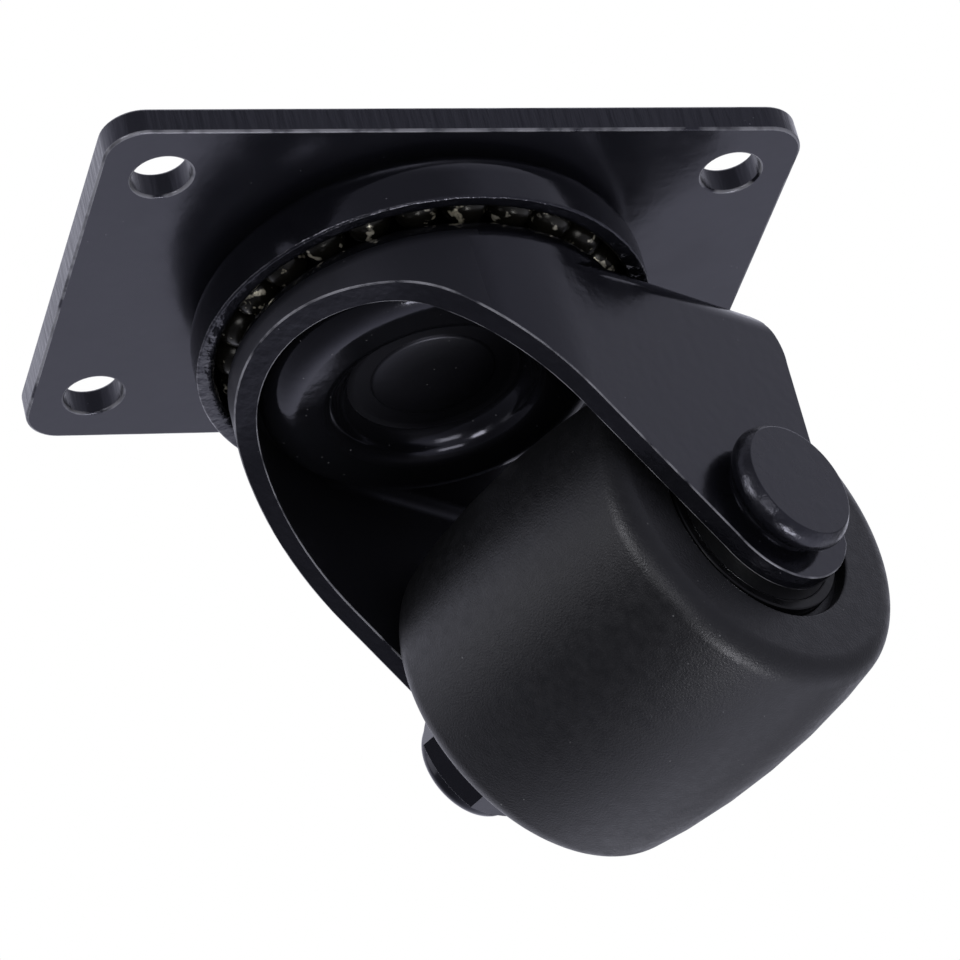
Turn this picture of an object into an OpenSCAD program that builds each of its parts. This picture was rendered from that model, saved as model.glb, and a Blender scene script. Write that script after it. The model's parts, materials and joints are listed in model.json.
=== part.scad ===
// Low-profile plate castor with a double ball-race swivel and a wheel on two ball bearings.
// The origin is the centre of the plate's top face, +Z is up and X runs along the plate.
// Depths are measured down from the plate's underside.

/* [Top plate] */
// Length of the plate
plate_l = 89; // [84:1:110]
// Width of the plate
plate_w = 60; // [58:1:90]
// Thickness of the plate
plate_t = 3.7; // [3:0.1:6]
// Radius of the plate's corners
plate_corner_r = 5; // [2:0.5:8]
// Distance between bolt holes along the plate
hole_pitch_l = 73; // [70:0.5:76]
// Distance between bolt holes across the plate
hole_pitch_w = 43; // [40:0.5:46]
// Diameter of the bolt holes
hole_d = 7.5; // [6:0.1:9]

/* [Swivel race] */
// Sheet thickness of the upper race cup
cup_sheet = 2.4; // [1.8:0.1:3]
// Depth of the cup's rim below the plate
cup_depth = 9.3; // [8:0.1:10]
// Diameter of the upper balls
upper_ball_d = 6; // [5.5:0.1:6.2]
// How far the ring of upper balls lies inside the crown's wall
upper_ring_inset = 2.2; // [2:0.1:2.8]
// Diameter of the lower balls
lower_ball_d = 5; // [4:0.1:5.5]
// How far the ring of lower balls lies inside the crown's flat
lower_ring_inset = 3; // [2.8:0.1:5]
// Sheet thickness of the lower race cap
cap_sheet = 1.8; // [1.2:0.1:2]
// How far the cap's middle is sunk from its rim
cap_recess = 3.6; // [3:0.1:4]

/* [King pin] */
// Diameter of the king pin's necks
pin_d = 12; // [10:0.5:13]
// Diameter of the collar between cup and cap
pin_collar_d = 16; // [15:0.5:17]
// Diameter of the closed end under the cap
pin_end_d = 15.8; // [15:0.1:18]
// Height of the closed end under the cap
pin_end_h = 1; // [0.6:0.1:1.5]
// Depth of the countersink in the plate's top
pin_sink_depth = 2.4; // [1.5:0.1:2.8]

/* [Fork] */
// Turn of the fork about the king pin
swivel_angle = 24.5; // [-180:0.5:180]
// Sheet thickness of the fork
fork_sheet = 2.7; // [2:0.1:3]
// Outer bend radius round the crown
crown_bend_r = 5; // [4:0.1:6]
// Diameter of the hole in the crown
crown_hole_d = 19; // [18.5:0.5:21]
// Height of the crown above the rear web
crown_step = 3.1; // [2.4:0.1:5]
// Outer bend radius between web and legs
leg_bend_r = 4.5; // [3.5:0.1:6]
// Distance from the king pin back to the axle
trail = 26; // [24:0.5:30]
// Radius of each leg's tip about the axle
leg_tip_r = 11.2; // [10:0.1:12]
// How far the legs' rear edge stands behind the axle
leg_rear = 9.6; // [8:0.1:10]
// Radius of the rear corner between web and legs
rear_corner_r = 8; // [4:0.5:9]
// Height of the front edge left below the crown's bend
front_lip = 1.8; // [1:0.1:4]
// Slope of the front edge round the crown
front_slope = 25; // [20:1:30]
// Slope of the legs' front edge
leg_slope = 43; // [40:1:48]
// Radius where the two slopes meet
front_blend_r = 20; // [6:1:30]

/* [Wheel] */
// Diameter of the wheel
wheel_d = 49.6; // [47:0.1:52]
// Width of the wheel
wheel_w = 43.6; // [40:0.1:45]
// Radius of the crowned tread along the axle
tread_crown_r = 110; // [80:5:200]
// Radius of the wheel's shoulders
shoulder_r = 3.2; // [2.5:0.1:5]
// Diameter of the hub recess
recess_d = 28.2; // [27.5:0.1:31]
// Depth of the hub recess
recess_depth = 2; // [1:0.1:3]
// Diameter of the bore between the bearings
hub_bore_d = 21; // [18:0.5:23]

/* [Wheel bearings] */
// Bore of the bearings
bearing_bore_d = 10; // [9:0.5:11]
// Outer diameter of the bearings
bearing_d = 26; // [25:0.5:27]
// Width of the bearings
bearing_w = 8; // [7.5:0.5:9]
// How far the bearings sit inside the wheel's faces
bearing_inset = 0.5; // [0.2:0.1:1]
// Diameter of the bearing balls
bearing_ball_d = 4.76; // [4.4:0.02:4.9]
// Balls in each bearing
bearing_ball_count = 7; // [6:1:8]
// Thickness of the seals
seal_t = 0.8; // [0.5:0.1:0.9]
// Radial thickness of the cage
cage_t = 1.5; // [1:0.1:2]

/* [Axle] */
// Largest diameter of the bolt's head
head_d = 17.5; // [16:0.1:20]
// Thickness of the bolt's head
head_h = 4.5; // [4:0.1:6]
// Radius of the head's bulging rim
head_rim_r = 2.6; // [2:0.1:3]
// How far the rim's fullest line lies below the head's face
head_rim_drop = 2; // [1:0.1:2.2]
// Diameter of the neck under the head's rim
head_neck_d = 14; // [13:0.5:15]
// Width across the nut's flats
nut_flats = 17; // [16:0.5:19]
// Height of the nut's hexagon
nut_hex_h = 8; // [5:0.5:9]
// Height of the nut's locking collar
nut_collar_h = 2.9; // [2:0.1:4]
// Turn of the nut's hexagon on the bolt
nut_turn = 5; // [0:1:60]
// Outer diameter of the locking collar
nut_collar_d = 15; // [14.5:0.1:15.5]
// Outer diameter of the nylon locking ring
insert_d = 12.6; // [12.2:0.1:13]
// Bolt end that stands past the nut
bolt_past = 0.6; // [0:0.1:3]
// Outer diameter of the thrust washers
washer_d = 15; // [13:0.5:18]
// Outer diameter of the tube between the bearings
spacer_d = 14; // [12.5:0.5:14]

/* [Clearances] */
// Space between each side of the wheel and its leg
wheel_side_gap = 1; // [0.8:0.1:3]
// Space between the wheel and the rear web
wheel_top_gap = 5.1; // [4.6:0.1:7]
// Running gap between balls and their tracks
race_gap = 0.05; // [0.02:0.01:0.08]
// Least space between neighbouring swivel balls
ball_space = 0.05; // [0.02:0.01:0.1]
// Gap round a pressed or riveted fit
press_gap = 0.02; // [0.01:0.01:0.04]
// Gap round the bolt in the fork's holes
bolt_gap = 0.12; // [0.05:0.01:0.3]
// Running gap between seals and inner rings
seal_gap = 0.1; // [0.05:0.01:0.2]
// How far straight edges run inside the arcs that they meet
edge_overlap = 0.05; // [0.02:0.01:0.1]

/* [Hidden] */
$fn = 96;
cut = 1;

// Fork and crown, outwards from the wheel
leg_in = wheel_w / 2 + wheel_side_gap;
leg_out = leg_in + fork_sheet;
crown_r = leg_out;
crown_flat_r = crown_r - crown_bend_r;

// Upper ball row: the balls roll in the cup's corner and on the crown's bend
upper_ball_r = upper_ball_d / 2;
upper_ring_r = crown_r - upper_ring_inset;
upper_track_r = upper_ball_r + race_gap;
upper_ring_depth = cup_sheet + upper_track_r;
upper_reach = upper_track_r + crown_bend_r;
crown_bend_depth = upper_ring_depth + sqrt(pow(upper_reach, 2) - pow(upper_ring_r - crown_flat_r, 2));
crown_top = crown_bend_depth - crown_bend_r;
crown_under = crown_top + fork_sheet;
cup_in_r = upper_ring_r + upper_track_r;
cup_out_r = cup_in_r + cup_sheet;

// Lower ball row: the balls roll on the crown's underside and in the cap's channel
lower_ball_r = lower_ball_d / 2;
lower_ring_r = crown_flat_r - lower_ring_inset;
lower_track_r = lower_ball_r + race_gap;
lower_ring_depth = crown_under + lower_track_r;
cap_out_r = lower_track_r + cap_sheet;
cap_lip = lower_track_r / 2;
cap_bottom = lower_ring_depth + cap_out_r;
cap_mid_under = cap_bottom - cap_recess;
cap_mid_top = cap_mid_under - cap_sheet;

// King pin
pin_r = pin_d / 2;
pin_hole_r = pin_r + press_gap;
pin_sink_r = pin_r + pin_sink_depth;

// Rear web, axle and leg outline, in the fork's own side view
web_top = crown_top + crown_step;
web_under = web_top + fork_sheet;
axle_depth = web_under + wheel_top_gap + wheel_d / 2;
rear_x = trail + leg_rear;
rear_edge = rear_x - edge_overlap;
front_edge_r = leg_tip_r - edge_overlap;
front_depth = crown_bend_depth + front_lip;
tip_front = [trail - front_edge_r * sin(leg_slope), axle_depth + front_edge_r * cos(leg_slope)];
blend_x = (front_depth - tip_front[1] + crown_r * tan(front_slope) + tip_front[0] * tan(leg_slope))
    / (tan(leg_slope) - tan(front_slope));
blend_depth = front_depth + (blend_x + crown_r) * tan(front_slope);
blend_cut = front_blend_r * tan((leg_slope - front_slope) / 2);

// Wheel section
wheel_r = wheel_d / 2;
half_w = wheel_w / 2;
shoulder_turn = asin((half_w - shoulder_r) / (tread_crown_r - shoulder_r));
shoulder_at = half_w - shoulder_r;
shoulder_mid_r = wheel_r - tread_crown_r + (tread_crown_r - shoulder_r) * cos(shoulder_turn);
tread_edge_r = wheel_r - tread_crown_r * (1 - cos(shoulder_turn));
tread_edge_at = tread_crown_r * sin(shoulder_turn);

// Bearings and axle
bore_r = bearing_bore_d / 2;
bolt_r = bore_r - press_gap;
bearing_r = bearing_d / 2;
bearing_face = half_w - bearing_inset;
bearing_mid = bearing_face - bearing_w / 2;
bearing_back = bearing_face - bearing_w;
pitch_r = (bearing_bore_d + bearing_d) / 4;
bearing_ball_r = bearing_ball_d / 2;
bearing_track_r = bearing_ball_r + race_gap;
land_share = 0.74;
inner_land_r = pitch_r - land_share * bearing_ball_r;
outer_land_r = pitch_r + land_share * bearing_ball_r;
seal_seat_r = outer_land_r + seal_t;
seal_sunk = 0.1;
cage_half_w = bearing_w / 2 - seal_sunk - seal_t - race_gap * 4;
nut_outer = leg_out + nut_hex_h + nut_collar_h;
nut_tip_r = nut_flats / 2 / cos(30);
nut_roll = nut_collar_h / 4;

// Finishes
black_coat = [0.035, 0.036, 0.04];
black_nylon = [0.055, 0.056, 0.06];
ball_steel = [0.72, 0.72, 0.7];
ring_steel = [0.08, 0.08, 0.09];
zinc = [0.58, 0.6, 0.62];
seal_black = [0.04, 0.04, 0.05];
cage_tan = [0.6, 0.5, 0.35];
insert_white = [0.85, 0.86, 0.85];

// How many balls of diameter d fit a full ring of radius r
function ring_count(r, d) = floor(180 / asin((d + ball_space) / 2 / r));

// Moves a child down to a depth below the plate's underside
module down(depth) {
    translate([0, 0, -plate_t - depth]) children();
}

// Turns a child with the fork about the king pin
module swivelled() {
    rotate([0, 0, swivel_angle]) children();
}

// Sets a child on the axle, its Z axis towards the bolt's head
module on_axle() {
    swivelled() down(axle_depth) translate([trail, 0, 0]) rotate([90, 0, 0]) children();
}

// Places a child on the near bearing's middle for side 1, and mirrored on the far one for side -1
module at_bearing(side) {
    on_axle() mirror([0, 0, side > 0 ? 0 : 1]) translate([0, 0, bearing_mid]) children();
}

// Ring of loose balls round Z
module ball_ring(r, ball_r, count) {
    for (i = [0 : count - 1]) rotate([0, 0, i * 360 / count]) translate([r, 0, 0]) sphere(ball_r);
}

// Flat ring with square edges, standing on Z = 0
module flat_ring(r_in, r_out, h) {
    difference() {
        cylinder(r = r_out, h = h);
        translate([0, 0, -cut]) cylinder(r = r_in, h = h + 2 * cut);
    }
}

// Section of an upside-down dish with a round outer corner, top at Y = 0
module dish_section(r, depth, corner) {
    translate([0, -depth]) square([r - corner, depth]);
    translate([0, -depth]) square([r, depth - corner]);
    translate([r - corner, -corner]) circle(corner);
}

// Rounded plate outline
module plate_outline() {
    square([plate_l - 2 * plate_corner_r, plate_w], center = true);
    square([plate_l, plate_w - 2 * plate_corner_r], center = true);
    for (x = [-1, 1], y = [-1, 1])
        translate([x * (plate_l / 2 - plate_corner_r), y * (plate_w / 2 - plate_corner_r)])
            circle(plate_corner_r);
}

module top_plate() {
    color(black_coat) difference() {
        translate([0, 0, -plate_t]) linear_extrude(plate_t) plate_outline();
        for (x = [-1, 1], y = [-1, 1])
            translate([x * hole_pitch_l / 2, y * hole_pitch_w / 2, -plate_t - cut])
                cylinder(d = hole_d, h = plate_t + 2 * cut);
        translate([0, 0, -plate_t - cut]) cylinder(r = pin_hole_r, h = plate_t + 2 * cut);
        translate([0, 0, -pin_sink_depth])
            cylinder(r1 = pin_hole_r, r2 = pin_sink_r + press_gap, h = pin_sink_depth);
    }
}

module race_cup() {
    color(black_coat) down(0) difference() {
        rotate_extrude() difference() {
            dish_section(cup_out_r, cup_depth, cup_sheet + upper_track_r);
            translate([0, -cup_sheet]) dish_section(cup_in_r, cup_depth, upper_track_r);
        }
        translate([0, 0, -cup_sheet - cut]) cylinder(r = pin_hole_r, h = cup_sheet + 2 * cut);
    }
}

module upper_balls() {
    color(ball_steel) down(upper_ring_depth)
        ball_ring(upper_ring_r, upper_ball_r, ring_count(upper_ring_r, upper_ball_d));
}

module lower_balls() {
    color(ball_steel) down(lower_ring_depth)
        ball_ring(lower_ring_r, lower_ball_r, ring_count(lower_ring_r, lower_ball_d));
}

// Channel section of the cap: a half ring open at the top, with short upright lips
module cap_channel() {
    translate([lower_ring_r, 0]) difference() {
        union() {
            circle(cap_out_r);
            translate([-cap_out_r, 0]) square([2 * cap_out_r, cap_lip]);
        }
        circle(lower_track_r);
        translate([-lower_track_r, 0]) square([2 * lower_track_r, cap_out_r + cut]);
        translate([-cap_out_r - cut, cap_lip]) square([2 * (cap_out_r + cut), cap_out_r]);
    }
}

module lower_race_cap() {
    color(black_coat) difference() {
        union() {
            down(lower_ring_depth) rotate_extrude() cap_channel();
            down(cap_mid_under) cylinder(r = lower_ring_r - lower_track_r, h = cap_sheet);
        }
        down(cap_mid_under + cut) cylinder(r = pin_hole_r, h = cap_sheet + 2 * cut);
    }
}

module king_pin() {
    color(black_coat) {
        translate([0, 0, -pin_sink_depth]) cylinder(r1 = pin_r, r2 = pin_sink_r, h = pin_sink_depth);
        down(cap_mid_under) cylinder(r = pin_r, h = cap_mid_under + plate_t - pin_sink_depth);
        down(cap_mid_top) cylinder(d = pin_collar_d, h = cap_mid_top - cup_sheet);
        down(cap_mid_under + pin_end_h)
            cylinder(d1 = pin_end_d - 2 * pin_end_h, d2 = pin_end_d, h = pin_end_h);
    }
}

// Bar across the fork with an outline in its side view: X back from the king pin, Y up
module across() {
    down(0) translate([0, leg_out + cut, 0]) rotate([90, 0, 0])
        linear_extrude(2 * (leg_out + cut)) children();
}

// Arc between the legs' front edge and the crown's front edge
function front_blend() =
    let (steps = 6)
    let (on_crown = [blend_x - blend_cut * cos(front_slope), blend_cut * sin(front_slope) - blend_depth])
    let (centre = on_crown - front_blend_r * [sin(front_slope), cos(front_slope)])
    [for (i = [0 : steps])
        let (turn = leg_slope + (front_slope - leg_slope) * i / steps)
        centre + front_blend_r * [sin(turn), cos(turn)]];

// Form that the pressed fork is trimmed to
module fork_trim() {
    rear_top = [rear_x - rear_corner_r, -web_top];
    across() polygon(concat(
        [[-crown_r - cut, cut], [rear_top[0], cut], rear_top, [rear_edge, -web_top - rear_corner_r]],
        [[rear_edge, -axle_depth], [trail, -axle_depth], [tip_front[0], -tip_front[1]]],
        front_blend(),
        [[-crown_r - cut, -front_depth + cut * tan(front_slope)]]
    ));
    across() translate([rear_x - rear_corner_r, -web_top - rear_corner_r]) circle(rear_corner_r);
    across() translate([trail, -axle_depth]) circle(leg_tip_r);
}

// Crown and legs as one closed form: a round dome, and a round-cornered block back from it
module fork_form(half, bend, top, block_top, block_bend) {
    depth = axle_depth + leg_tip_r + cut;
    down(top) rotate_extrude() dish_section(half, depth - top, bend);
    down(block_top) rotate([90, 0, 90]) linear_extrude(rear_x + cut)
        for (side = [0, 1]) mirror([side, 0]) dish_section(half, depth - block_top, block_bend);
}

module fork() {
    color(black_coat) swivelled() difference() {
        intersection() {
            difference() {
                fork_form(leg_out, crown_bend_r, crown_top, web_top, leg_bend_r);
                fork_form(leg_in, crown_bend_r - fork_sheet, crown_under, web_under, leg_bend_r - fork_sheet);
            }
            fork_trim();
        }
        down(crown_under + cut) cylinder(d = crown_hole_d, h = fork_sheet + 2 * cut);
        across() translate([trail, -axle_depth]) circle(bolt_r + bolt_gap);
    }
}

// Bolt head: flat face with a sharp edge, bulging rim and drawn-in neck
module bolt_head() {
    rim_at = head_d / 2 - head_rim_r;
    intersection() {
        union() {
            cylinder(r = rim_at, h = head_h);
            translate([0, 0, head_h - head_rim_drop])
                rotate_extrude() translate([rim_at, 0]) circle(head_rim_r);
        }
        cylinder(d = head_d + 2 * cut, h = head_h);
    }
    cylinder(d = head_neck_d, h = head_h / 2);
}

module axle_bolt() {
    shank = nut_outer + bolt_past + leg_out;
    color(black_coat) on_axle() {
        translate([0, 0, leg_out]) bolt_head();
        translate([0, 0, -nut_outer - bolt_past]) cylinder(r = bolt_r, h = shank);
    }
}

module lock_nut() {
    color(black_coat) on_axle() mirror([0, 0, 1]) translate([0, 0, leg_out]) difference() {
        union() {
            intersection() {
                rotate([0, 0, nut_turn]) cylinder(r = nut_tip_r, h = nut_hex_h, $fn = 6);
                nut_corners();
            }
            translate([0, 0, nut_hex_h]) nut_collar();
        }
        translate([0, 0, -cut]) cylinder(r = bore_r, h = nut_hex_h + 2 * cut);
        translate([0, 0, nut_hex_h]) cylinder(d = insert_d, h = nut_collar_h - nut_roll);
        translate([0, 0, nut_hex_h]) cylinder(r = (bore_r + insert_d / 2) / 2, h = nut_collar_h + cut);
    }
}

// Double cone that takes the sharp corners off both ends of the nut's hexagon
module nut_corners() {
    rise = nut_hex_h / 2;
    face_r = nut_flats / 2;
    rotate_extrude()
        polygon([[0, 0], [face_r, 0], [face_r + rise * tan(60), rise], [face_r, nut_hex_h], [0, nut_hex_h]]);
}

// Collar with a rolled outer edge, sunk into the hexagon
module nut_collar() {
    rolled = nut_collar_h / 2;
    rotate_extrude() {
        translate([0, -rolled]) square([nut_collar_d / 2 - rolled, nut_collar_h + rolled]);
        translate([0, -rolled]) square([nut_collar_d / 2, nut_collar_h]);
        translate([nut_collar_d / 2 - rolled, nut_collar_h - rolled]) circle(rolled);
    }
}

module nut_insert() {
    color(insert_white) on_axle() mirror([0, 0, 1]) translate([0, 0, leg_out + nut_hex_h])
        flat_ring(bore_r, insert_d / 2 - press_gap, nut_collar_h - nut_roll);
}

// Thrust washer between a leg and its bearing's inner ring
module side_washer(side) {
    color(zinc) on_axle() mirror([0, 0, side > 0 ? 0 : 1]) translate([0, 0, bearing_face])
        flat_ring(bore_r, washer_d / 2, leg_in - bearing_face);
}

module near_washer() {
    side_washer(1);
}

module far_washer() {
    side_washer(-1);
}

module bearing_spacer() {
    color(zinc) on_axle() translate([0, 0, -bearing_back])
        flat_ring(bore_r, spacer_d / 2, 2 * bearing_back);
}

// Half of the wheel's section: X out from the axle, Y along it
module wheel_section() {
    polygon([
        [0, -half_w], [shoulder_mid_r, -half_w], [tread_edge_r, -tread_edge_at],
        [tread_edge_r, tread_edge_at], [shoulder_mid_r, half_w], [0, half_w]
    ]);
    for (side = [-1, 1]) translate([shoulder_mid_r, side * shoulder_at]) circle(shoulder_r);
    intersection() {
        translate([wheel_r - tread_crown_r, 0]) circle(tread_crown_r);
        translate([tread_edge_r - cut, -tread_edge_at]) square([tread_crown_r, 2 * tread_edge_at]);
    }
}

module wheel() {
    color(black_nylon) on_axle() difference() {
        rotate_extrude() wheel_section();
        translate([0, 0, -half_w]) cylinder(d = hub_bore_d, h = wheel_w);
        for (side = [0, 1]) mirror([0, 0, side]) {
            translate([0, 0, bearing_back]) cylinder(r = bearing_r + press_gap, h = bearing_w + cut);
            translate([0, 0, half_w - recess_depth]) cylinder(d = recess_d, h = recess_depth + cut);
        }
    }
}

// Ball groove shared by both rings of a bearing
module ball_groove() {
    rotate_extrude() translate([pitch_r, 0]) circle(bearing_track_r);
}

module outer_ring(side) {
    color(ring_steel) at_bearing(side) difference() {
        translate([0, 0, -bearing_w / 2]) flat_ring(outer_land_r, bearing_r, bearing_w);
        ball_groove();
        for (face = [0, 1]) mirror([0, 0, face]) translate([0, 0, bearing_w / 2 - seal_sunk - seal_t])
            cylinder(r = seal_seat_r, h = seal_t + seal_sunk + cut);
    }
}

module inner_ring(side) {
    color(ring_steel) at_bearing(side) difference() {
        translate([0, 0, -bearing_w / 2]) flat_ring(bore_r, inner_land_r, bearing_w);
        ball_groove();
    }
}

module bearing_balls(side) {
    color(ball_steel) at_bearing(side) ball_ring(pitch_r, bearing_ball_r, bearing_ball_count);
}

module bearing_cage(side) {
    color(cage_tan) at_bearing(side) difference() {
        translate([0, 0, -cage_half_w]) flat_ring(pitch_r - cage_t / 2, pitch_r + cage_t / 2, 2 * cage_half_w);
        ball_ring(pitch_r, bearing_track_r, bearing_ball_count);
    }
}

// Seal on the bearing's outer face for face 1, and on its inner face for face -1
module bearing_seal(side, face) {
    color(seal_black) at_bearing(side) mirror([0, 0, face > 0 ? 0 : 1])
        translate([0, 0, bearing_w / 2 - seal_sunk - seal_t])
            flat_ring(inner_land_r + seal_gap, seal_seat_r - press_gap, seal_t);
}

module near_outer_ring() {
    outer_ring(1);
}

module near_inner_ring() {
    inner_ring(1);
}

module near_balls() {
    bearing_balls(1);
}

module near_cage() {
    bearing_cage(1);
}

module near_outer_seal() {
    bearing_seal(1, 1);
}

module near_inner_seal() {
    bearing_seal(1, -1);
}

module far_outer_ring() {
    outer_ring(-1);
}

module far_inner_ring() {
    inner_ring(-1);
}

module far_balls() {
    bearing_balls(-1);
}

module far_cage() {
    bearing_cage(-1);
}

module far_outer_seal() {
    bearing_seal(-1, 1);
}

module far_inner_seal() {
    bearing_seal(-1, -1);
}

top_plate();
race_cup();
upper_balls();
lower_balls();
lower_race_cap();
king_pin();
fork();
axle_bolt();
lock_nut();
nut_insert();
near_washer();
far_washer();
bearing_spacer();
wheel();
near_outer_ring();
near_inner_ring();
near_balls();
near_cage();
near_outer_seal();
near_inner_seal();
far_outer_ring();
far_inner_ring();
far_balls();
far_cage();
far_outer_seal();
far_inner_seal();
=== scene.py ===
# %% [markdown]
# # A low-profile plate castor, dressed for its portrait
# The solids of this castor come from a CAD model that also knows how every body moves. This lesson loads
# them as a fixed frame and gives each piece the rounded edges and the finish that the real one has. Every
# length is in metres and every piece stays where the CAD model puts it.

# %% Load the frame
import json
import math

import bmesh
import bpy
from mathutils import Matrix, Vector


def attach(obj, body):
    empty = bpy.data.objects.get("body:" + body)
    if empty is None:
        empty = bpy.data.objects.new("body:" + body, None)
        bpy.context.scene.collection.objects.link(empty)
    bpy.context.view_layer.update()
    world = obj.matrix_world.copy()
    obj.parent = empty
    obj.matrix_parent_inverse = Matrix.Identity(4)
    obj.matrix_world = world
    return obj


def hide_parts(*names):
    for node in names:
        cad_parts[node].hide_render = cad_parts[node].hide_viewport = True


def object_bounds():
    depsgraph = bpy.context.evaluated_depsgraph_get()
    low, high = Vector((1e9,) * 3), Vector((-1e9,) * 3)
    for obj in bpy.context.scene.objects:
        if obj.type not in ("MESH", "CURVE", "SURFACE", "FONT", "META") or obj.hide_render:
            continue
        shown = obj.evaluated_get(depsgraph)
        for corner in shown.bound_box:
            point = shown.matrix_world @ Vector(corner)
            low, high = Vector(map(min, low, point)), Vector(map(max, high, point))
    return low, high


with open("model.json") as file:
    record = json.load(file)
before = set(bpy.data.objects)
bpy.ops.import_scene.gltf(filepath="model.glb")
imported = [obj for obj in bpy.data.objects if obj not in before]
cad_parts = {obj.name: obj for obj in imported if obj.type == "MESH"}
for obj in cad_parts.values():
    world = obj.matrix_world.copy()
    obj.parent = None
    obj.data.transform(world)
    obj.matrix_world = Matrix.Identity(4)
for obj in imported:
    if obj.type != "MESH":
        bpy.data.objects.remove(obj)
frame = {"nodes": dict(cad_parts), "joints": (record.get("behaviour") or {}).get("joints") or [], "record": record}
nodes = frame["nodes"]
cad_low, cad_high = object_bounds()
MM = 0.001
print("nodes", len(nodes), "box", [round(v, 4) for v in cad_high - cad_low])

# %% [markdown]
# ## The camera
# The photograph was taken with a long lens from below, in front and to the left. A camera could be aimed by
# eye, but the corners and holes of the plate fix it exactly: the three directions below are its own right,
# up and back, as found from those points.

# %% Camera
camera_right = Vector((0.94870876, -0.2393073, -0.20660035))
camera_up = Vector((0.02346317, -0.59838854, 0.80086243))
camera_back = Vector((-0.3152795, -0.7646327, -0.56208155))
camera_data = bpy.data.cameras.new("portrait_camera")
camera_data.sensor_width = 36
camera_data.lens = 226.62
camera_data.clip_end = 20
camera = bpy.data.objects.new("portrait_camera", camera_data)
bpy.context.collection.objects.link(camera)
camera.matrix_world = (
    Matrix.Translation((-0.229844, -0.563588, -0.448424))
    @ Matrix((camera_right, camera_up, camera_back)).transposed().to_4x4()
)
bpy.context.scene.camera = camera
print("camera at", [round(v, 3) for v in camera.matrix_world.translation])

# %% [markdown]
# ## The white studio
# Gloss black has no colour of its own to show: what we see is the room mirrored in it. A white sweep behind
# and below the castor gives the pale plate and edges, the darker room behind the camera gives the deep
# sides, and a few dark patches draw the bands on the round pieces. The world is that room. It is plain
# white to the camera, and mirrored rays see the sweep.

# %% World
world = bpy.data.worlds.new("white_studio")
bpy.context.scene.world = world
world.use_nodes = True
wn, wl = world.node_tree.nodes, world.node_tree.links
wn.clear()
ray = wn.new("ShaderNodeLightPath")
where = wn.new("ShaderNodeTexCoord")
RANGE_SOCKETS = ("From Min", "From Max", "To Min", "To Max")


def shade(towards, start, end, at_start, at_end):
    lean = wn.new("ShaderNodeVectorMath")
    lean.operation = "DOT_PRODUCT"
    wl.new(where.outputs["Generated"], lean.inputs[0])
    lean.inputs[1].default_value = towards
    spread = wn.new("ShaderNodeMapRange")
    spread.interpolation_type = "SMOOTHSTEP"
    for socket, value in zip(RANGE_SOCKETS, (start, end, at_start, at_end)):
        spread.inputs[socket].default_value = value
    wl.new(lean.outputs["Value"], spread.inputs["Value"])
    return spread.outputs["Result"]


def both(first, second):
    product = wn.new("ShaderNodeMath")
    product.operation = "MULTIPLY"
    wl.new(first, product.inputs[0])
    wl.new(second, product.inputs[1])
    return product.outputs[0]


white_back = shade((0, 1, 0), -0.55, 0.45, 0.46, 1.0)
dark_left_below = shade((0.8, 0, 0.6), -1.0, -0.15, 0.15, 1.0)
dark_doorway = shade((-0.21, -0.78, 0.59), 0.80, 0.97, 1.0, 0.5)
dark_horizon = shade((0.60, 0.79, -0.08), 0.93, 0.985, 1.0, 0.25)
dark_right = shade((0.96, 0.22, 0.15), 0.86, 0.98, 1.0, 0.3)
sweep = both(both(both(white_back, dark_left_below), both(dark_doorway, dark_horizon)), dark_right)
room = wn.new("ShaderNodeBackground")
room.inputs["Color"].default_value = (0.86, 0.865, 1.0, 1)
wl.new(sweep, room.inputs["Strength"])
white = wn.new("ShaderNodeBackground")
white.inputs["Color"].default_value = (1, 1, 1, 1)
white.inputs["Strength"].default_value = 1.0
seen = wn.new("ShaderNodeMixShader")
wl.new(ray.outputs["Is Camera Ray"], seen.inputs["Fac"])
wl.new(room.outputs[0], seen.inputs[1])
wl.new(white.outputs[0], seen.inputs[2])
world_out = wn.new("ShaderNodeOutputWorld")
wl.new(seen.outputs[0], world_out.inputs["Surface"])
bpy.context.scene.view_settings.view_transform = "Standard"
print("world", world.name)

# %% [markdown]
# ## Soft boxes
# Two soft boxes put the long glints on the wheel's shoulder and in the dish under the crown. A large weak
# one gives the tread its sheen, and one behind the camera lights the edges that face it. Their places
# follow from the mirror law: each one stands where a line from the camera bounces off such a glint.

# %% Soft boxes
castor_middle = (cad_low + cad_high) / 2


def soft_box(name, towards, distance, width, height, watts):
    lamp_data = bpy.data.lights.new(name, "AREA")
    lamp_data.shape = "RECTANGLE"
    lamp_data.size, lamp_data.size_y = width, height
    lamp_data.energy = watts
    lamp = bpy.data.objects.new(name, lamp_data)
    bpy.context.collection.objects.link(lamp)
    aim = Vector(towards).normalized()
    turn = aim.to_track_quat("Z", "Y").to_matrix().to_4x4()
    lamp.matrix_world = Matrix.Translation(castor_middle + aim * distance) @ turn
    print("soft box", name, [round(v, 2) for v in lamp.matrix_world.translation])


soft_box("left_soft_box", (-0.79, -0.61, -0.02), 0.9, 0.24, 0.36, 2.4)
soft_box("tread_soft_box", (-0.97, 0.10, 0.14), 0.9, 0.50, 0.50, 0.6)
soft_box("camera_soft_box", (-0.31, -0.80, -0.51), 0.95, 0.36, 0.26, 1.0)
soft_box("low_soft_box", (0.10, -0.12, -0.98), 0.9, 0.40, 0.20, 3.0)

# %% [markdown]
# ## The floor
# The castor hangs bolted to what it carries, so the floor lies well below it. It is a plain pale sheet that
# the camera sees as white. Mirrored rays pass through it to the white sweep, and the rest gets its soft
# bounce.

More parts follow.
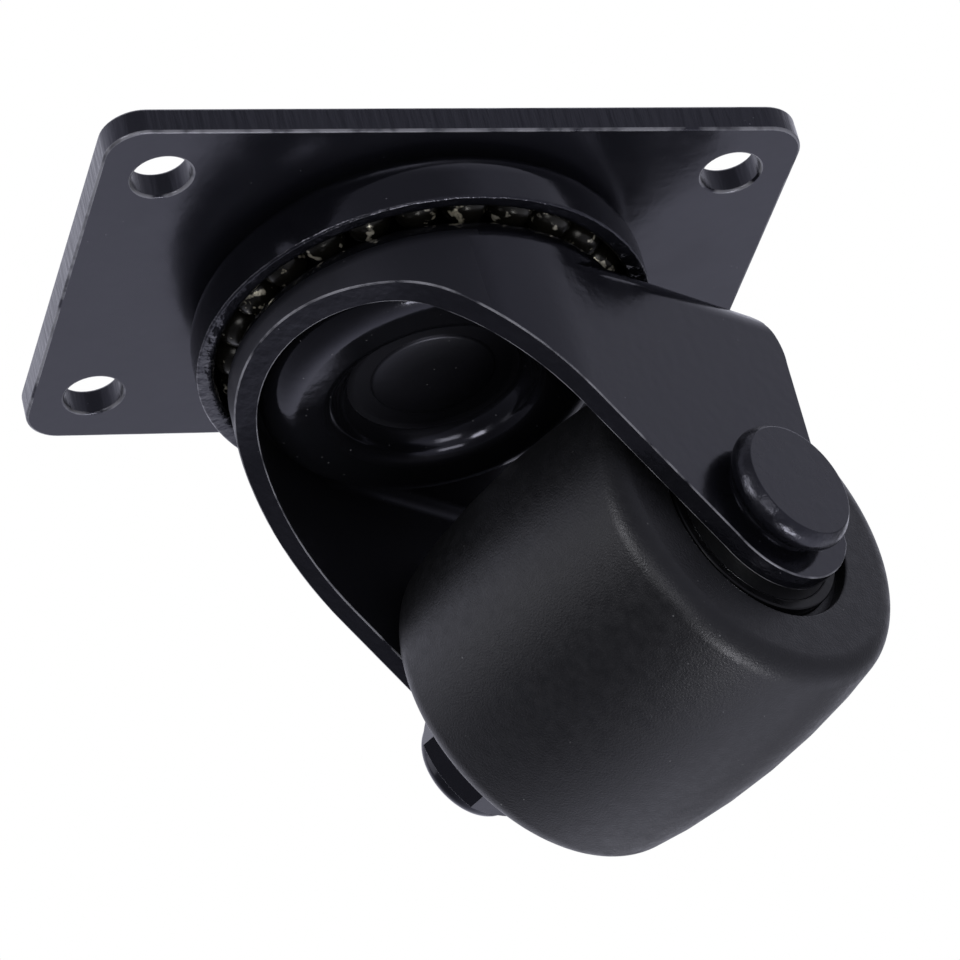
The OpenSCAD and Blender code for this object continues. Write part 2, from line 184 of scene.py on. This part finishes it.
# %% Floor
floor_mesh = bpy.data.meshes.new("studio_floor")
bm = bmesh.new()
floor_reach, floor_height = 3.0, -1.1
bmesh.ops.create_grid(bm, x_segments=1, y_segments=1, size=floor_reach)
bmesh.ops.translate(bm, verts=bm.verts, vec=(0, 0, floor_height))
bm.to_mesh(floor_mesh)
bm.free()
floor = bpy.data.objects.new("studio_floor", floor_mesh)
bpy.context.collection.objects.link(floor)
pale = bpy.data.materials.new("pale_floor")
pale.use_nodes = True
pn, pl = pale.node_tree.nodes, pale.node_tree.links
pn.clear()
floor_ray = pn.new("ShaderNodeLightPath")
floor_bounce = pn.new("ShaderNodeBsdfDiffuse")
floor_bounce.inputs["Color"].default_value = (0.8, 0.8, 0.8, 1)
floor_white = pn.new("ShaderNodeEmission")
floor_clear = pn.new("ShaderNodeBsdfTransparent")
for_camera = pn.new("ShaderNodeMixShader")
pl.new(floor_ray.outputs["Is Camera Ray"], for_camera.inputs["Fac"])
pl.new(floor_bounce.outputs[0], for_camera.inputs[1])
pl.new(floor_white.outputs[0], for_camera.inputs[2])
floor_mix = pn.new("ShaderNodeMixShader")
pl.new(floor_ray.outputs["Is Glossy Ray"], floor_mix.inputs["Fac"])
pl.new(for_camera.outputs[0], floor_mix.inputs[1])
pl.new(floor_clear.outputs[0], floor_mix.inputs[2])
floor_out = pn.new("ShaderNodeOutputMaterial")
pl.new(floor_mix.outputs[0], floor_out.inputs["Surface"])
floor_mesh.materials.append(pale)
print("floor", floor.name)

# %% [markdown]
# ## Nodes for the finishes
# Every finish is built from the same few steps: noise on the piece's own coordinates, a ramp between two
# values, and a shallow bump. Short helpers keep the materials below readable.

# %% Helpers for the finishes
class Finish:
    def __init__(self, name):
        self.material = bpy.data.materials.new(name)
        self.material.use_nodes = True
        self.nodes, self.links = self.material.node_tree.nodes, self.material.node_tree.links
        self.shader = self.nodes["Principled BSDF"]
        self.coords = self.nodes.new("ShaderNodeTexCoord")
        self.bump = None

    def place(self, scale):
        mapping = self.nodes.new("ShaderNodeMapping")
        mapping.inputs["Scale"].default_value = scale
        self.links.new(self.coords.outputs["Object"], mapping.inputs["Vector"])
        return mapping.outputs["Vector"]

    def noise(self, scale, detail=3.0, stretch=(1, 1, 1)):
        noise = self.nodes.new("ShaderNodeTexNoise")
        noise.inputs["Scale"].default_value = scale
        noise.inputs["Detail"].default_value = detail
        self.links.new(self.place(stretch), noise.inputs["Vector"])
        return noise.outputs["Fac"]

    def specks(self, scale, size):
        cells = self.nodes.new("ShaderNodeTexVoronoi")
        cells.inputs["Scale"].default_value = scale
        self.links.new(self.place((1, 1, 1)), cells.inputs["Vector"])
        near = self.ramp(cells.outputs["Distance"], size, size * 0.4, 0, 1)
        return self.times(near, self.ramp(self.noise(scale * 0.5, 1), 0.56, 0.66, 0, 1))

    def marked(self, attribute):
        reader = self.nodes.new("ShaderNodeAttribute")
        reader.attribute_name = attribute
        return reader.outputs["Fac"]

    def ramp(self, value, low, high, out_low, out_high):
        spread = self.nodes.new("ShaderNodeMapRange")
        for socket, number in zip(RANGE_SOCKETS, (low, high, out_low, out_high)):
            spread.inputs[socket].default_value = number
        self.links.new(value, spread.inputs["Value"])
        return spread.outputs["Result"]

    def times(self, first, second):
        product = self.nodes.new("ShaderNodeMath")
        product.operation = "MULTIPLY"
        self.links.new(first, product.inputs[0])
        self.links.new(second, product.inputs[1])
        return product.outputs[0]

    def blend(self, share, first, second):
        mix = self.nodes.new("ShaderNodeMix")
        mix.data_type = "RGBA"
        self.links.new(share, mix.inputs["Factor"])
        for socket, colour in ((mix.inputs["A"], first), (mix.inputs["B"], second)):
            if isinstance(colour, tuple):
                socket.default_value = (*colour, 1)
            else:
                self.links.new(colour, socket)
        return mix.outputs["Result"]

    def blend_value(self, share, first, second):
        mix = self.nodes.new("ShaderNodeMix")
        self.links.new(share, mix.inputs["Factor"])
        self.links.new(first, mix.inputs["A"])
        mix.inputs["B"].default_value = second
        return mix.outputs["Result"]

    def set(self, socket, value):
        if isinstance(value, bpy.types.NodeSocket):
            self.links.new(value, self.shader.inputs[socket])
        else:
            self.shader.inputs[socket].default_value = value

    def press(self, height, depth):
        bump = self.nodes.new("ShaderNodeBump")
        bump.inputs["Strength"].default_value = 1.0
        bump.inputs["Distance"].default_value = depth
        self.links.new(height, bump.inputs["Height"])
        if self.bump:
            self.links.new(self.bump, bump.inputs["Normal"])
        self.bump = bump.outputs["Normal"]
        self.links.new(self.bump, self.shader.inputs["Normal"])


print("helpers ready")

# %% [markdown]
# ## Gloss black coating
# The pressed pieces are dipped in a thin black lacquer that flows a little before it sets. It is nearly
# black, faintly blue, and its gloss wanders over the surface. A shallow orange-peel bump breaks up the
# mirror, a few specks of dust lie on it, and it is rubbed thin in patches along the edges, which carry a
# mark for that.

# %% Gloss black coating
EASED, ROUGH, SHORN = "eased_edge", "rough_steel", "shorn_edge"


def black_coating(name, lightness=1.0):
    coat = Finish(name)
    deep = Vector((0.0022, 0.0023, 0.0032)) * lightness
    thin = Vector((0.0042, 0.0043, 0.0056)) * lightness
    tone = coat.blend(coat.noise(60), tuple(deep), tuple(thin))
    worn = coat.times(coat.marked(EASED), coat.ramp(coat.noise(260, 4), 0.36, 0.54, 0, 1))
    tone = coat.blend(worn, tone, (0.15, 0.15, 0.16))
    coat.set("Base Color", coat.blend(coat.specks(700, 0.075), tone, (0.10, 0.10, 0.11)))
    coat.set("Roughness", coat.ramp(coat.noise(180, 5), 0.3, 0.7, 0.10, 0.22))
    coat.set("IOR", 1.55)
    coat.set("Specular Tint", (0.84, 0.84, 1.0, 1))
    coat.press(coat.noise(700, 2), 0.00002)
    return coat


coating = black_coating("gloss_black_coating")
print("finish", coating.material.name)

# %% [markdown]
# ## Coating on forged and sheared steel
# Under the same lacquer the rim of the bolt's upset head keeps the scale of its die, the sheared rim of the
# cup keeps its torn grain, and the shear left upright scratches on the plate's sides. Each is the gloss
# coating with a coarser bump, which only shows on the faces that a later cell marks as rough.

# %% Coating on forged and sheared steel
forged = black_coating("black_on_forged_steel")
forged.press(forged.times(forged.marked(ROUGH), forged.noise(560, 4)), 0.00018)
forged.set("Roughness", forged.ramp(forged.noise(300, 5), 0.3, 0.7, 0.16, 0.34))
sheared = black_coating("black_on_sheared_rim")
sheared.press(sheared.times(sheared.marked(ROUGH), sheared.noise(620, 4)), 0.00035)
scratched = black_coating("black_on_sheared_sides", lightness=2.2)
scratched.set("Roughness", scratched.ramp(scratched.noise(180, 5), 0.3, 0.7, 0.15, 0.27))
scratches = scratched.noise(900, 3, stretch=(1, 1, 0.1))
scratched.press(scratched.times(scratched.marked(ROUGH), scratches), 0.00014)
print("finishes", [f.material.name for f in (forged, sheared, scratched)])

# %% [markdown]
# ## Dull coating inside
# Inside the fork and in the dish the lacquer was never wiped, and grease and dust have settled on it. It is
# the same black with less gloss on the faces marked as rough, and in the dish it has more pale specks. The
# fork's cut edge is marked as shorn, and the torn grain of the cut shows through there.

# %% Dull coating inside
dull = black_coating("dull_black_inside")
gloss = dull.ramp(dull.noise(180, 5), 0.3, 0.7, 0.10, 0.22)
dull.set("Roughness", dull.blend_value(dull.marked(ROUGH), gloss, 0.40))
dull.press(dull.times(dull.marked(SHORN), dull.noise(520, 5)), 0.00016)
dusty = black_coating("dusty_black_dish")
dusty_tone = dusty.blend(dusty.noise(90, 6), (0.0018, 0.0019, 0.0024), (0.0048, 0.0049, 0.0060))
dusty.set("Base Color", dusty.blend(dusty.specks(900, 0.12), dusty_tone, (0.13, 0.13, 0.13)))
dusty_gloss = dusty.ramp(dusty.noise(240, 6), 0.3, 0.7, 0.10, 0.20)
dusty.set("Roughness", dusty.blend_value(dusty.marked(ROUGH), dusty_gloss, 0.42))
print("finishes", dull.material.name, dusty.material.name)

# %% [markdown]
# ## Satin nylon
# The wheel is moulded nylon, black right through, with a fine grain from the mould. Rolling has scuffed it,
# so the gloss is mottled and a few pale specks stick to it.

# %% Satin nylon
nylon = Finish("satin_black_nylon")
nylon_tone = nylon.blend(nylon.noise(900, 6), (0.0020, 0.0021, 0.0024), (0.0064, 0.0065, 0.0072))
nylon.set("Base Color", nylon.blend(nylon.specks(640, 0.09), nylon_tone, (0.11, 0.11, 0.11)))
nylon.set("Roughness", nylon.ramp(nylon.noise(700, 7), 0.3, 0.7, 0.35, 0.47))
nylon.set("IOR", 1.53)
nylon.set("Specular IOR Level", 0.45)
nylon.set("Specular Tint", (0.94, 0.94, 1.0, 1))
nylon.press(nylon.noise(3600, 2), 0.00005)
nylon.press(nylon.noise(420, 5), 0.00002)
print("finish", nylon.material.name)

# %% [markdown]
# ## Greased steel balls
# The swivel balls are polished steel in old grease. Here and there a pale patch of bare steel shows, with a yellow
# tinge where the grease is thin, and its light colour is also a painted glint on the ball.

# %% Greased steel balls
balls = Finish("greased_steel_painted_glints")
# Pale patches: bare steel, whose light colour is also a painted glint standing in for light flashing off the
# balls.
bare_patch_painted_glint = balls.ramp(balls.noise(560, 4), 0.60, 0.66, 0, 1)
bare_steel_glint_colour = balls.blend(balls.noise(120, 2), (0.80, 0.79, 0.76), (0.70, 0.62, 0.34))
balls.set("Base Color", balls.blend(bare_patch_painted_glint, (0.012, 0.011, 0.008), bare_steel_glint_colour))
balls.set("Metallic", 0.45)
balls.set("Roughness", balls.ramp(bare_patch_painted_glint, 0, 1, 0.24, 0.14))
balls.press(balls.noise(300, 2), 0.00006)
print("finish", balls.material.name)

# %% [markdown]
# ## Small hardware finishes
# Blackened bearing rings, bright zinc washers, rubber seals and two kinds of bare nylon are hidden deep in
# the hub, but they show when the castor is taken apart or seen from the side, so each has its own grain.

# %% Small hardware finishes
rings = Finish("blackened_steel")
rings.set("Base Color", rings.blend(rings.noise(300), (0.005, 0.005, 0.006), (0.011, 0.011, 0.012)))
rings.set("Metallic", 0.5)
rings.set("Specular IOR Level", 0.35)
rings.set("Roughness", rings.ramp(rings.noise(500, 4), 0.3, 0.7, 0.24, 0.40))
rings.press(rings.noise(900, 2), 0.00002)

zinc = Finish("bright_zinc")
zinc.set("Base Color", zinc.blend(zinc.noise(240), (0.52, 0.54, 0.57), (0.66, 0.68, 0.70)))
zinc.set("Metallic", 1.0)
zinc.set("Roughness", zinc.ramp(zinc.noise(600, 4), 0.3, 0.7, 0.22, 0.38))
zinc.press(zinc.noise(1200, 2), 0.00002)

rubber = Finish("matt_seal_rubber")
rubber.set("Base Color", rubber.blend(rubber.noise(300), (0.004, 0.004, 0.005), (0.010, 0.010, 0.011)))
rubber.set("Roughness", rubber.ramp(rubber.noise(500, 4), 0.3, 0.7, 0.45, 0.62))
rubber.set("Specular IOR Level", 0.22)
rubber.press(rubber.noise(1500, 2), 0.00003)

cage = Finish("tan_cage_nylon")
cage.set("Base Color", cage.blend(cage.noise(300), (0.52, 0.42, 0.28), (0.64, 0.54, 0.38)))
cage.set("Roughness", cage.ramp(cage.noise(600, 3), 0.3, 0.7, 0.40, 0.55))
cage.press(cage.noise(1500, 2), 0.00002)

locking = Finish("white_locking_nylon")
locking.set("Base Color", locking.blend(locking.noise(300), (0.78, 0.79, 0.78), (0.88, 0.89, 0.88)))
locking.set("Roughness", locking.ramp(locking.noise(600, 3), 0.3, 0.7, 0.35, 0.50))
locking.press(locking.noise(1500, 2), 0.00002)
print("finishes", [f.material.name for f in (rings, zinc, rubber, cage, locking)])

# %% [markdown]
# ## Finishes on the CAD nodes
# Every solid that stays as it is gets the finish of the material slot that the record gives it. The pieces
# made further down replace the solids that show most.

# %% Finishes on the CAD nodes
finish_of = {
    "black_coat": coating, "black_nylon": nylon, "ball_steel": balls, "ring_steel": rings,
    "zinc": zinc, "seal": rubber, "cage": cage, "nylon_insert": locking,
}
slot_of = {row["node"]: row["material_slot"] for row in frame["record"]["subparts"]}
for name, node in nodes.items():
    node.data.materials.clear()
    node.data.materials.append(finish_of[slot_of[name]].material)
print("dressed", len(nodes), "nodes")

# %% [markdown]
# ## Turned and pressed round pieces
# Cup, dish, pin, bolt and wheel are all round, so each is one section spun about its axis, as on a lathe.
# The section is a flat face whose corners are rounded with a vertex bevel first: that is easier than
# rounding the finished ring, and every corner keeps its own radius. A section is a list of corners, each
# with its radius, its height along the axis and its rounding in millimetres.

# %% Spin a section
SHARP = math.radians(35)
MERGE = 0.002 * MM
WIDE_ROUNDING = 1.4


def show(name, bm, finish):
    mesh = bpy.data.meshes.new(name)
    bm.to_mesh(mesh)
    bm.free()
    mesh.shade_smooth()
    mesh.set_sharp_from_angle(angle=SHARP)
    mesh.materials.append(finish.material)
    piece = bpy.data.objects.new(name, mesh)
    bpy.context.collection.objects.link(piece)
    even = piece.modifiers.new("even_shading", "WEIGHTED_NORMAL")
    even.keep_sharp = True
    print(name, len(mesh.vertices), "points", len(mesh.polygons), "faces")
    return piece


def spun(section, centre, axis, steps=144):
    bm = bmesh.new()
    out = axis.orthogonal().normalized()
    places = [centre + (out * radius + axis * height) * MM for radius, height, _ in section]
    corners = [bm.verts.new(place) for place in places]
    bm.faces.new(corners)
    for rounding in sorted({size for *_, size in section if size}):
        bmesh.ops.bevel(
            bm, geom=[corner for corner, (*_, size) in zip(corners, section) if size == rounding],
            offset=rounding * MM, offset_type="OFFSET", segments=10 if rounding > WIDE_ROUNDING else 4,
            profile=0.5, affect="VERTICES", clamp_overlap=True, material=-1,
        )
    bmesh.ops.delete(bm, geom=bm.faces[:], context="FACES_ONLY")
    bmesh.ops.spin(
        bm, geom=bm.verts[:] + bm.edges[:], cent=centre, axis=axis, angle=math.tau, steps=steps,
        use_merge=True,
    )
    bmesh.ops.remove_doubles(bm, verts=bm.verts, dist=MERGE)
    bmesh.ops.delete(bm, geom=[edge for edge in bm.edges if not edge.link_faces], context="EDGES")
    bmesh.ops.recalc_face_normals(bm, faces=bm.faces)
    return bm


def marked_where(bm, mark_name, chosen):
    mark = bm.faces.layers.float.new(mark_name)
    for face in bm.faces:
        face[mark] = float(chosen(face))
    return bm


swivel_centre, swivel_axis = Vector((0, 0, 0)), Vector((0, 0, 1))
wheel_joint = next(joint for joint in frame["joints"] if joint["name"] == "wheel_spin")
axle_centre, axle_axis = Vector(wheel_joint["pos_m"]), Vector(wheel_joint["axis"]).normalized()
print("axle at", [round(v, 4) for v in axle_centre])

# %% [markdown]
# ## Race cup
# The cup is pressed from sheet and riveted under the plate. Its rim was sheared off and then rolled in a
# little, so only a thin line of it catches the light.

# %% Race cup
cup_top, cup_floor, cup_rim = -3.7, -6.1, -13.0
cup_outside, cup_inside, pin_hole = 28.75, 26.35, 6.02
torn_height = 0.7
cup_section = [
    (pin_hole, cup_top, 0), (cup_outside, cup_top, 5.4), (cup_outside, cup_rim, 0.35),
    (cup_inside, cup_rim, 1.1), (cup_inside, cup_floor, 3.0), (pin_hole, cup_floor, 0),
]


def on_torn_rim(face):
    return face.calc_center_median().z < (cup_rim + torn_height) * MM


cup_bm = marked_where(spun(cup_section, swivel_centre, swivel_axis), ROUGH, on_torn_rim)
race_cup = show("race_cup_pressing", cup_bm, sheared)
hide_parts("race_cup")
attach(race_cup, "base")

# %% [markdown]
# ## Lower race cap
# The dish under the crown has a rolled channel that holds the lower balls, and a sunk middle where the pin
# goes through. A press leaves no sharp corner in it, so the inside corner flows in a wide curve. Dust lies in
# the sunk middle, which is marked as rough for that.

# %% Lower race cap
seat, dish_top, sunk_floor, channel_floor, dish_bottom = -15.897, -15.672, -17.697, -19.497, -21.297
sunk_radius = 11.0
cap_section = [
    (pin_hole, seat, 0), (13.15, seat, 0), (13.15, dish_top, 0), (14.95, dish_top, 0.3),
    (14.95, channel_floor, 2.5), (20.05, channel_floor, 2.5), (20.05, dish_top, 0.3),
    (21.85, dish_top, 0.5), (21.85, dish_bottom, 4.2), (13.2, dish_bottom, 2.9), (12.0, sunk_floor, 2.2),
    (pin_hole, sunk_floor, 0),
]


def sunk_middle(face):
    middle = face.calc_center_median() / MM
    return math.hypot(middle.x, middle.y) < sunk_radius


cap_bm = marked_where(spun(cap_section, swivel_centre, swivel_axis), ROUGH, sunk_middle)
lower_race_cap = show("lower_race_dish", cap_bm, dusty)
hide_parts("lower_race_cap")
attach(lower_race_cap, "base")

# %% [markdown]
# ## King pin
# The pin is turned and then riveted, so its closed end is a low button with a soft edge, and its top fills
# the countersink in the plate.

# %% King pin
neck, collar = 6.0, 8.0
pin_section = [
    (0, 0, 0), (8.38, 0, 0.15), (neck, -2.4, 0), (neck, cup_floor, 0), (collar, cup_floor, 0),
    (collar, seat, 0), (neck, seat, 0), (neck, sunk_floor, 0), (7.9, sunk_floor, 0), (7.7, -18.0, 0.2),
    (5.2, -18.5, 1.6), (0, -18.6, 0),
]
pin_bm = marked_where(spun(pin_section, swivel_centre, swivel_axis), ROUGH, sunk_middle)
king_pin = show("king_pin_rivet", pin_bm, dusty)
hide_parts("king_pin")
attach(king_pin, "base")

# %% [markdown]
# ## Axle bolt
# The head is upset from the bar in a die: a flat face with a crisp edge, a rim that bulges where the metal
# was squeezed out, and a drawn-in neck.

# %% Axle bolt
head_face, head_seat, bolt_end = 30.0, 25.5, -37.0
shank, head_neck, head_bulge = 4.98, 7.0, 8.72
bulge_start, bulge_end = 25.8, 29.9
bolt_section = [
    (0, head_face, 0), (7.75, head_face, 0.12), (head_bulge, 28.8, 0.7), (head_bulge, 27.2, 0.9),
    (head_neck, 25.9, 0.3), (head_neck, head_seat, 0), (shank, head_seat, 0), (shank, bolt_end, 0.6),
    (0, bolt_end, 0),
]


def on_bulge(face):
    out = face.calc_center_median() - axle_centre
    return bulge_start < out.dot(axle_axis) / MM < bulge_end


bolt_bm = marked_where(spun(bolt_section, axle_centre, axle_axis), ROUGH, on_bulge)
axle_bolt = show("axle_bolt_upset", bolt_bm, forged)
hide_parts("axle_bolt")
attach(axle_bolt, "fork_body")

# %% [markdown]
# ## Wheel
# The wheel is one moulding. Its tread bulges slightly along the axle so that it turns easily on the spot,
# its shoulders are round, and each side has a seat for a bearing.

# %% Wheel
half_width, tread_crest, tread_bulge = 21.8, 24.79, 110.0
recess, recess_floor, bearing_seat, seat_floor, bore = 14.1, 19.8, 13.02, 13.3, 10.5


def tread_radius(along):
    return tread_crest - along * along / (2 * tread_bulge)


tread = [(tread_radius(along), along, 0) for along in (-14, -7, 0, 7, 14)]
hub_side = [
    (recess, half_width, 0.3), (recess, recess_floor, 0), (bearing_seat, recess_floor, 0.15),
    (bearing_seat, seat_floor, 0), (bore, seat_floor, 0.3),
]
shoulder = (tread_radius(half_width), half_width, 3.0)
wheel_section = [
    *[(radius, -height, size) for radius, height, size in reversed(hub_side)],
    (shoulder[0], -shoulder[1], shoulder[2]), *tread, shoulder, *hub_side,
]
wheel = show("moulded_wheel", spun(wheel_section, axle_centre, axle_axis, steps=192), nylon)
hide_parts("wheel")
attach(wheel, "wheel_body")

# %% [markdown]
# ## Plate, fork and nut
# These are not round, and their outlines are exact in the CAD model. Tracing them again would only add
# errors, so each is a copy of the CAD mesh: its triangles are joined into clean faces, and then the sharp
# edges that shears and presses leave are eased with a bevel. The eased faces are marked for the coating's
# wear. A clamped bevel stays as narrow as the shortest edge lets it. That leaves the nut almost sharp, and
# the fork is eased without the clamp, apart from its thin rear lip and the rim under its crown.

# %% Ease the edges of a copy
def eased_copy(node, offset, segments, leave=lambda edge: False, clamp=True):
    bm = bmesh.new()
    bm.from_mesh(nodes[node].data)
    mark = bm.faces.layers.float.new(EASED)
    bmesh.ops.remove_doubles(bm, verts=bm.verts, dist=MERGE)
    bmesh.ops.dissolve_limit(bm, angle_limit=math.radians(0.5), verts=bm.verts, edges=bm.edges)
    sharp = [edge for edge in bm.edges if edge.calc_face_angle_signed() > SHARP and not leave(edge)]
    eased = bmesh.ops.bevel(
        bm, geom=sharp, offset=offset * MM, offset_type="OFFSET", segments=segments, profile=0.5,
        affect="EDGES", clamp_overlap=clamp, material=-1,
    )
    for face in eased["faces"]:
        face[mark] = 1.0
    return bm


def upright(face):
    return abs(face.normal.z) < 0.1


plate_bm = marked_where(eased_copy("top_plate", 0.35, 3), ROUGH, upright)
top_plate = show("plate_sheared", plate_bm, scratched)
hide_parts("top_plate")
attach(top_plate, "base")


crown_reach, crown_low, crown_high = 23.5, -18.3, -13.5
lip_start, lip_low, lip_high = 33.0, -18.0, -16.5
leg_tip, inside_reach = -50.0, 22.85
rearward = Vector((-axle_axis.y, axle_axis.x, 0))


def left_sharp(edge):
    ends = [vert.co / MM for vert in edge.verts]
    under_crown = all(
        crown_low < end.z < crown_high and math.hypot(end.x, end.y) < crown_reach for end in ends
    )
    rear_lip = all(lip_low < end.z < lip_high and end.dot(rearward) > lip_start for end in ends)
    return under_crown or rear_lip


def shorn(face):
    lean = face.normal.z
    tip = face.calc_center_median().z < leg_tip * MM
    return abs(face.normal.dot(axle_axis)) < 0.05 and lean < -0.4 and (tip or lean > -0.96)


def inside(face):
    middle = face.calc_center_median()
    across = abs((middle - axle_centre).dot(axle_axis))
    reach = min(across, math.hypot(middle.x, middle.y)) / MM
    return face.normal.z < 0.3 and reach < inside_reach and not shorn(face)


fork_bm = eased_copy("fork", 0.18, 3, leave=left_sharp, clamp=False)
marked_where(fork_bm, ROUGH, inside)
marked_where(fork_bm, SHORN, shorn)
fork = show("fork_pressing", fork_bm, dull)
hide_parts("fork")
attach(fork, "fork_body")

lock_nut = show("lock_nut_hexagon", eased_copy("lock_nut", 0.2, 2), coating)
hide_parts("lock_nut")
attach(lock_nut, "fork_body")

# %% [markdown]
# ## Bearing rings
# The outer ring of each wheel bearing shows in the hub's recess. Ground rings have a rounded corner so that
# they slip into their seats, and that corner is the bright line round the hub, so it gets the same bevel.

# %% Bearing rings
for side in ("near", "far"):
    ring_node = f"{side}_outer_ring"
    ring = show(f"{side}_ground_ring", eased_copy(ring_node, 0.45, 4), rings)
    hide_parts(ring_node)
    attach(ring, "wheel_body")
